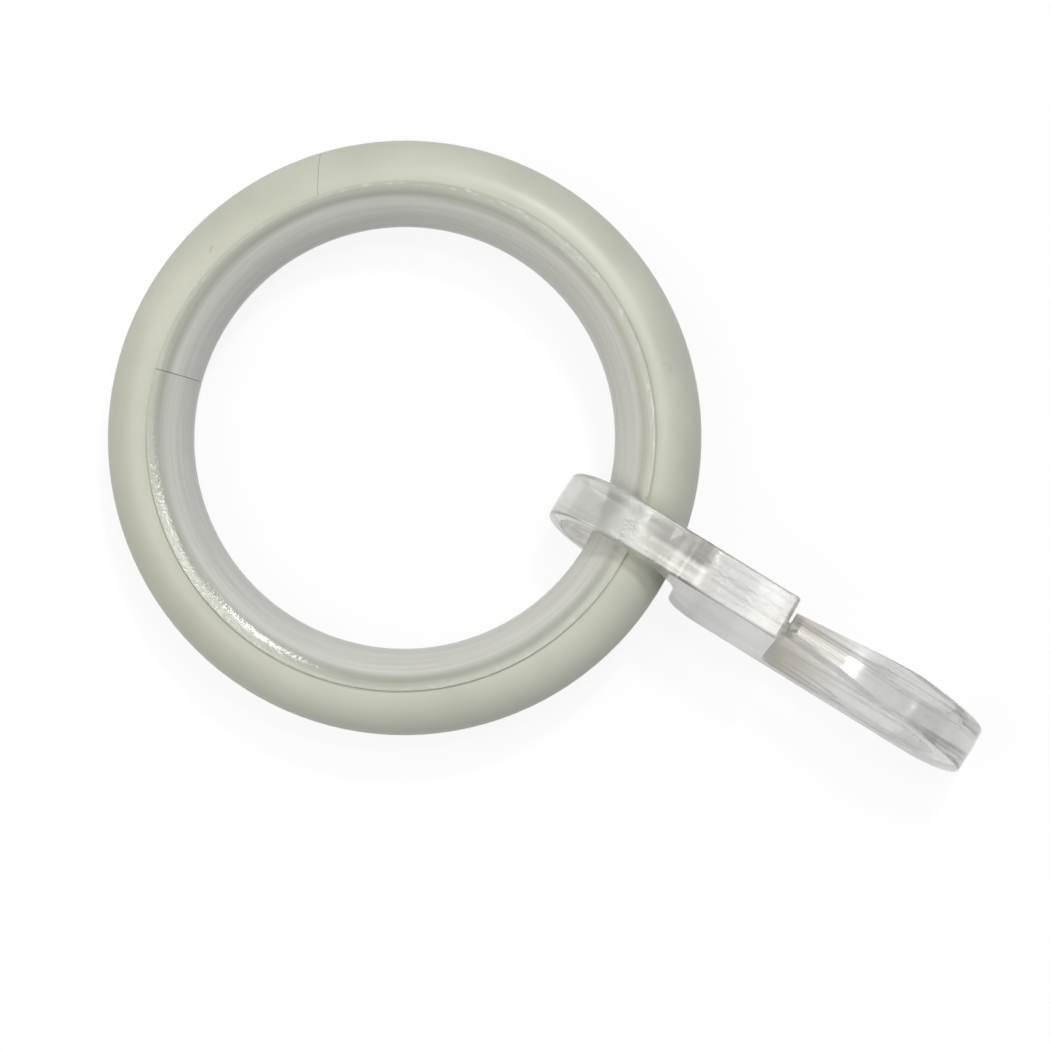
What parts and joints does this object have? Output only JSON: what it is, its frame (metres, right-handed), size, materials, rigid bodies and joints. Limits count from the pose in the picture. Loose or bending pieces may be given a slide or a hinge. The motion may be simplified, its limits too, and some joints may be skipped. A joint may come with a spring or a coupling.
{
  "type": "curtain ring",
  "caption": "Painted metal curtain ring of round tube section with a clear glide liner inside and a clear clip-on pleat hook that swings on the tube.",
  "frame": {"origin": "centre of the ring's opening at half the height of the tube", "axes": "+Z along the ring's axis, up when the ring lies flat; +X along the hook, away from the ring"},
  "size_m": [0.0665, 0.042, 0.0108],
  "materials": {
    "cream_paint": "satin",
    "clear_liner": "clear satin",
    "clear_hook": "clear gloss"
  },
  "bodies": {
    "ring": {"ring_shell": "cream_paint", "glide_liner": "clear_liner"},
    "hook": {"pleat_hook": "clear_hook"}
  },
  "joints": [
    {"name": "hook_swing", "type": "hinge", "parent": "ring", "child": "hook", "pos_m": [0.01784, 0.00238, 0], "axis": [0, 0.9806, -0.1959], "continuous": true}
  ]
}
